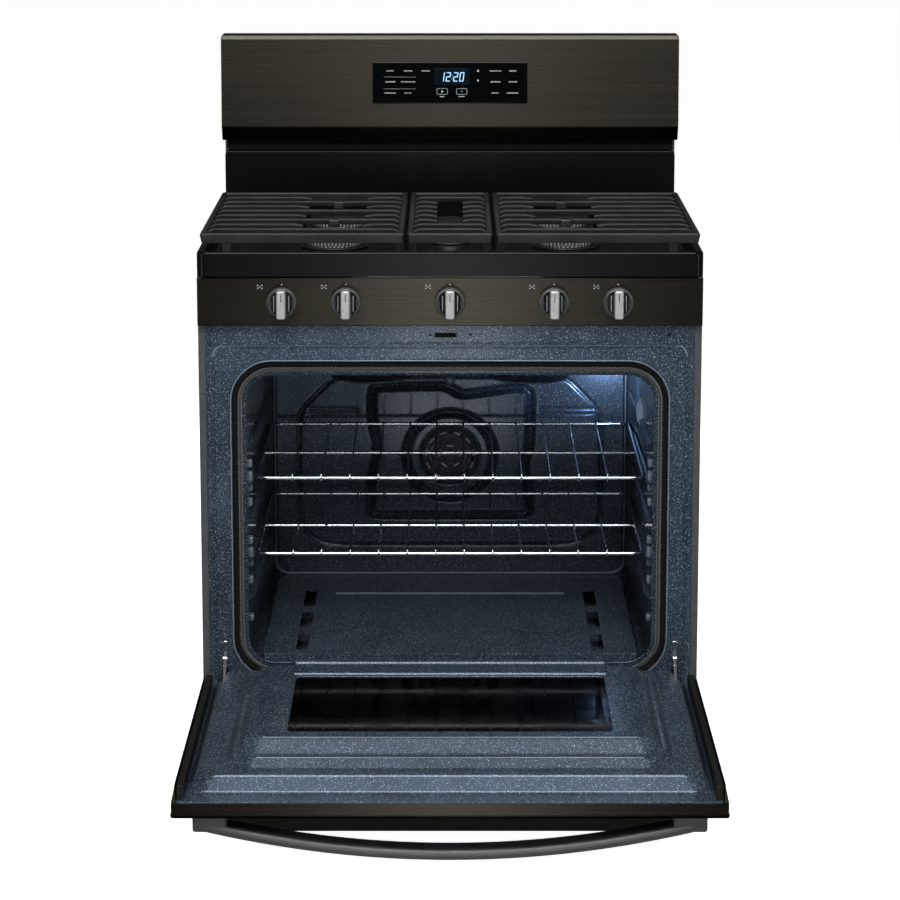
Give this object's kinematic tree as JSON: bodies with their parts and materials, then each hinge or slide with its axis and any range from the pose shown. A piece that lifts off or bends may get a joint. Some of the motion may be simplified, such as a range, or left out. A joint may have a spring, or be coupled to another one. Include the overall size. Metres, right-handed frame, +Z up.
{
  "type": "freestanding gas range",
  "caption": "Freestanding gas range with sealed burners, cast-iron grates, a backguard clock panel, a drop-down oven door and a storage drawer.",
  "frame": {"origin": "on the floor, at the middle of the range's bounding box with the oven door open", "axes": "+X to the cook's right, +Y to the back of the range, +Z up"},
  "size_m": [0.759, 1.184, 1.19],
  "materials": {
    "side_paint": "fine stippled black paint",
    "galvanised_steel": "zinc-coated sheet",
    "speckled_enamel": "blue-black porcelain enamel with pale specks",
    "woven_gasket": "woven glass-fibre seal",
    "fan_aluminium": "pressed aluminium",
    "lamp_glass": "pressed clear glass",
    "black_enamel": "gloss black porcelain enamel",
    "black_stainless": "brushed black-coated stainless steel",
    "display_glass": "black printed glass",
    "door_glass": "tinted heat-resistant glass",
    "handle_steel": "brushed dark steel",
    "knob_metal": "dark metal with a bright grip",
    "brass": "machined",
    "burner_aluminium": "cast, dulled by heat",
    "cap_enamel": "matte black enamel",
    "grate_iron": "satin black enamel",
    "rack_chrome": "bright plated wire",
    "hinge_steel": "bright plated steel",
    "drawer_paint": "semi-gloss near-black paint"
  },
  "bodies": {
    "chassis": {"side_panel_left": "side_paint", "side_panel_right": "side_paint", "base_pan": "galvanised_steel", "rear_cover": "galvanised_steel", "fan_motor": "galvanised_steel", "bake_burner": "galvanised_steel", "broil_burner": "galvanised_steel", "leveling_foot_front_left": "galvanised_steel", "leveling_foot_front_right": "galvanised_steel", "leveling_foot_rear_left": "galvanised_steel", "leveling_foot_rear_right": "galvanised_steel", "oven_front_frame": "speckled_enamel", "oven_wall_left": "speckled_enamel", "oven_wall_right": "speckled_enamel", "oven_ceiling": "speckled_enamel", "oven_back_wall": "speckled_enamel", "oven_floor_panel": "speckled_enamel", "door_gasket": "woven_gasket", "oven_lamp": "lamp_glass", "cooktop": "black_enamel", "backsplash": "black_enamel", "control_panel": "black_stainless", "backguard_fascia": "black_stainless", "display_glass": "display_glass", "gas_manifold": "brass", "burner_head_front_left": "burner_aluminium", "burner_head_rear_left": "burner_aluminium", "burner_head_center": "burner_aluminium", "burner_head_rear_right": "burner_aluminium", "burner_head_front_right": "burner_aluminium", "burner_cap_front_left": "cap_enamel", "burner_cap_rear_left": "cap_enamel", "burner_cap_center": "cap_enamel", "burner_cap_rear_right": "cap_enamel", "burner_cap_front_right": "cap_enamel", "hinge_arm_left": "hinge_steel", "hinge_arm_right": "hinge_steel"},
    "fan": {"convection_fan": "fan_aluminium"},
    "door": {"door_skin": "black_stainless", "door_liner": "speckled_enamel", "door_inner_glass": "door_glass", "door_outer_glass": "door_glass", "door_handle": "handle_steel"},
    "drawer": {"drawer_front": "drawer_paint", "drawer_box": "galvanised_steel"},
    "rack_lower": {"oven_rack_lower": "rack_chrome"},
    "rack_upper": {"oven_rack_upper": "rack_chrome"},
    "grate_left": {"grate_left": "grate_iron"},
    "grate_center": {"grate_center": "grate_iron"},
    "grate_right": {"grate_right": "grate_iron"},
    "stem_front_left": {"valve_stem_front_left": "brass"},
    "knob_front_left": {"knob_front_left": "knob_metal"},
    "stem_rear_left": {"valve_stem_rear_left": "brass"},
    "knob_rear_left": {"knob_rear_left": "knob_metal"},
    "stem_center": {"valve_stem_center": "brass"},
    "knob_center": {"knob_center": "knob_metal"},
    "stem_rear_right": {"valve_stem_rear_right": "brass"},
    "knob_rear_right": {"knob_rear_right": "knob_metal"},
    "stem_front_right": {"valve_stem_front_right": "brass"},
    "knob_front_right": {"knob_front_right": "knob_metal"}
  },
  "joints": [
    {"name": "door_hinge", "type": "hinge", "parent": "chassis", "child": "door", "pos_m": [0, -0.04225, 0.24725], "axis": [-1, 0, 0], "range_deg": [0, 90]},
    {"name": "drawer_slide", "type": "slide", "parent": "chassis", "child": "drawer", "axis": [0, 1, 0], "range_m": [-0.38, 0]},
    {"name": "rack_lower_slide", "type": "slide", "parent": "chassis", "child": "rack_lower", "axis": [0, 1, 0], "range_m": [-0.25, 0]},
    {"name": "rack_upper_slide", "type": "slide", "parent": "chassis", "child": "rack_upper", "axis": [0, 1, 0], "range_m": [-0.25, 0]},
    {"name": "fan_spin", "type": "hinge", "parent": "chassis", "child": "fan", "pos_m": [0, 0.491, 0.4907], "axis": [0, 1, 0], "continuous": true},
    {"name": "grate_left_lift", "type": "slide", "parent": "chassis", "child": "grate_left", "axis": [0, 0, 1], "range_m": [0, 0.1]},
    {"name": "grate_center_lift", "type": "slide", "parent": "chassis", "child": "grate_center", "axis": [0, 0, 1], "range_m": [0, 0.1]},
    {"name": "grate_right_lift", "type": "slide", "parent": "chassis", "child": "grate_right", "axis": [0, 0, 1], "range_m": [0, 0.1]},
    {"name": "stem_front_left_push", "type": "slide", "parent": "chassis", "child": "stem_front_left", "axis": [0, 1, 0], "range_m": [0, 0.003], "stiffness_N_per_m": 600, "springref_m": -0.004},
    {"name": "knob_front_left_turn", "type": "hinge", "parent": "stem_front_left", "child": "knob_front_left", "pos_m": [-0.252, -0.028, 0.838], "axis": [0, -1, 0], "range_deg": [0, 225]},
    {"name": "stem_rear_left_push", "type": "slide", "parent": "chassis", "child": "stem_rear_left", "axis": [0, 1, 0], "range_m": [0, 0.003], "stiffness_N_per_m": 600, "springref_m": -0.004},
    {"name": "knob_rear_left_turn", "type": "hinge", "parent": "stem_rear_left", "child": "knob_rear_left", "pos_m": [-0.156, -0.028, 0.838], "axis": [0, -1, 0], "range_deg": [0, 225]},
    {"name": "stem_center_push", "type": "slide", "parent": "chassis", "child": "stem_center", "axis": [0, 1, 0], "range_m": [0, 0.003], "stiffness_N_per_m": 600, "springref_m": -0.004},
    {"name": "knob_center_turn", "type": "hinge", "parent": "stem_center", "child": "knob_center", "pos_m": [0, -0.028, 0.838], "axis": [0, -1, 0], "range_deg": [0, 225]},
    {"name": "stem_rear_right_push", "type": "slide", "parent": "chassis", "child": "stem_rear_right", "axis": [0, 1, 0], "range_m": [0, 0.003], "stiffness_N_per_m": 600, "springref_m": -0.004},
    {"name": "knob_rear_right_turn", "type": "hinge", "parent": "stem_rear_right", "child": "knob_rear_right", "pos_m": [0.156, -0.028, 0.838], "axis": [0, -1, 0], "range_deg": [0, 225]},
    {"name": "stem_front_right_push", "type": "slide", "parent": "chassis", "child": "stem_front_right", "axis": [0, 1, 0], "range_m": [0, 0.003], "stiffness_N_per_m": 600, "springref_m": -0.004},
    {"name": "knob_front_right_turn", "type": "hinge", "parent": "stem_front_right", "child": "knob_front_right", "pos_m": [0.252, -0.028, 0.838], "axis": [0, -1, 0], "range_deg": [0, 225]}
  ]
}
